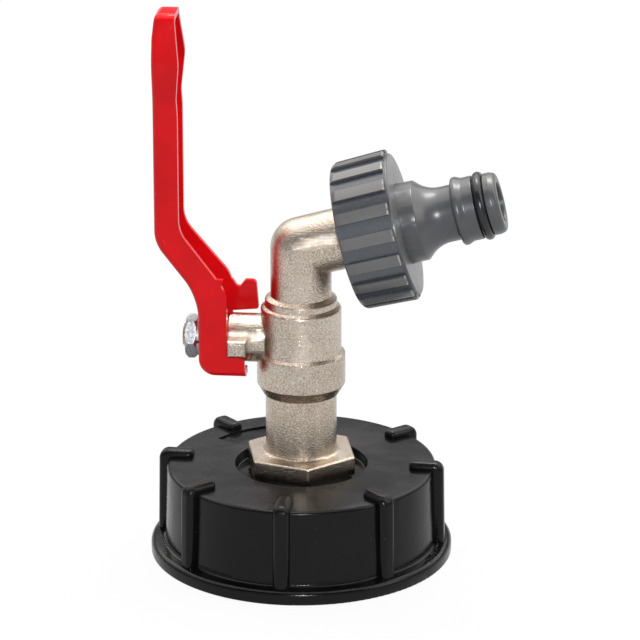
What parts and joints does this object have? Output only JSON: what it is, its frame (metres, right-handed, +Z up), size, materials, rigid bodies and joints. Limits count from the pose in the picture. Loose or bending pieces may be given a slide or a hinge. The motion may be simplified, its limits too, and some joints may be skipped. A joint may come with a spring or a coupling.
{
  "type": "ibc tank valve",
  "caption": "Ball tap with a red lever, screwed into a ribbed cap for a container outlet, with an angled spout and a push-fit hose spigot on a union nut.",
  "frame": {"origin": "middle of the cap's open mouth, in the plane of its rim", "axes": "+Z up along the cap's thread and the inlet pipe, +X towards the spout, lever at -X"},
  "size_m": [0.0891, 0.076, 0.1398],
  "materials": {
    "cap_plastic": "moulded black polypropylene, glossy skirt, satin top",
    "gasket_rubber": "black sheet rubber",
    "seal_fibre": "red-brown fibre",
    "nickel_plate": "blasted nickel plate over brass",
    "nickel_cast": "blasted nickel plate over cast brass",
    "seat_ptfe": "white fluoropolymer",
    "ball_chrome": "polished chrome on brass",
    "stem_brass": "bare turned brass",
    "ring_rubber": "oiled black rubber",
    "lever_enamel": "glossy red enamel on pressed steel",
    "zinc_steel": "zinc-plated steel",
    "connector_plastic": "satin grey moulded plastic"
  },
  "bodies": {
    "tap": {"tank_cap": "cap_plastic", "cap_gasket": "gasket_rubber", "inlet_seal": "gasket_rubber", "inlet_piece": "nickel_plate", "body_gasket": "seal_fibre", "tap_body": "nickel_cast", "lower_seat": "seat_ptfe", "upper_seat": "seat_ptfe", "thrust_washer": "seat_ptfe", "spout_washer": "gasket_rubber", "spigot": "connector_plastic", "spigot_ring": "ring_rubber"},
    "handle": {"lever": "lever_enamel", "lever_washer": "zinc_steel", "lever_nut": "zinc_steel", "stem": "stem_brass", "stem_ring_inner": "ring_rubber", "stem_ring_outer": "ring_rubber", "ball": "ball_chrome"},
    "union": {"union_nut": "connector_plastic"}
  },
  "joints": [
    {"name": "handle_turn", "type": "hinge", "parent": "tap", "child": "handle", "pos_m": [-0.0156, 0, 0.05599], "axis": [1, 0, 0], "range_deg": [0, 90]},
    {"name": "union_spin", "type": "hinge", "parent": "tap", "child": "union", "pos_m": [0.01739, 0, 0.08465], "axis": [0.9659, 0, 0.2588], "continuous": true}
  ]
}
